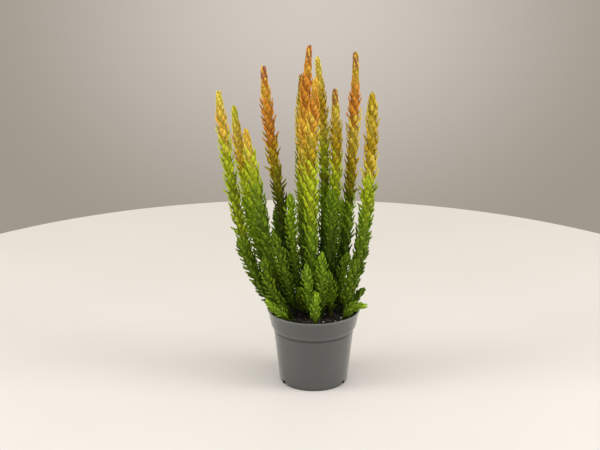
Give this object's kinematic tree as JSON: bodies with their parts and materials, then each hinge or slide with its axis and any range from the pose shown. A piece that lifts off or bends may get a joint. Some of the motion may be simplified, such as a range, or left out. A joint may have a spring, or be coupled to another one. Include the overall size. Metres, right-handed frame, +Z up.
{
  "type": "potted heather",
  "caption": "Small round tapered nursery pot filled with peat, holding upright spiky stems closely clothed in small pointed scale-like leaves.",
  "frame": {"origin": "centre of the pot's underside, on the surface that it stands on", "axes": "+Z up through the plant; -Y towards the viewer of the picture; +X to that viewer's right"},
  "size_m": [0.1034, 0.0636, 0.223],
  "materials": {
    "pot_plastic": "moulded mid-grey plastic with a faint grain and a slight sheen",
    "peat": "rough, crumbly, almost black peat",
    "gold_foliage": "matte leaves, gold at the tip through lime to dark green at the foot",
    "orange_foliage": "matte leaves, orange at the tip through olive to dark green at the foot",
    "green_foliage": "matte leaves, bright green at the tip to dark green at the foot"
  },
  "bodies": {
    "root": {"pot": "pot_plastic", "soil": "peat", "spike_far_left": "gold_foliage", "spike_rear_left": "gold_foliage", "spike_front_left": "gold_foliage", "spike_orange_left": "orange_foliage", "spike_rear_middle": "gold_foliage", "spike_tallest": "orange_foliage", "spike_front": "orange_foliage", "spike_rear_tall": "gold_foliage", "spike_inner_right": "gold_foliage", "spike_right_tall": "orange_foliage", "spike_far_right": "gold_foliage", "shoot_left": "green_foliage", "shoot_left_front": "green_foliage", "shoot_left_inner": "green_foliage", "shoot_left_middle": "green_foliage", "shoot_left_rear": "green_foliage", "shoot_middle": "green_foliage", "shoot_front_left": "green_foliage", "shoot_front_right": "green_foliage", "shoot_middle_right": "green_foliage", "shoot_green": "green_foliage", "shoot_right": "green_foliage", "shoot_right_front": "green_foliage", "shoot_far_right": "green_foliage", "shoot_rim_left": "green_foliage", "shoot_rim_middle": "green_foliage", "shoot_rim_front": "green_foliage", "shoot_rim_right": "green_foliage", "shoot_low_right": "green_foliage", "shoot_rear_left": "green_foliage", "shoot_rear_middle": "green_foliage", "shoot_rear_right": "green_foliage", "shoot_rear_far_right": "green_foliage"}
  },
  "joints": []
}
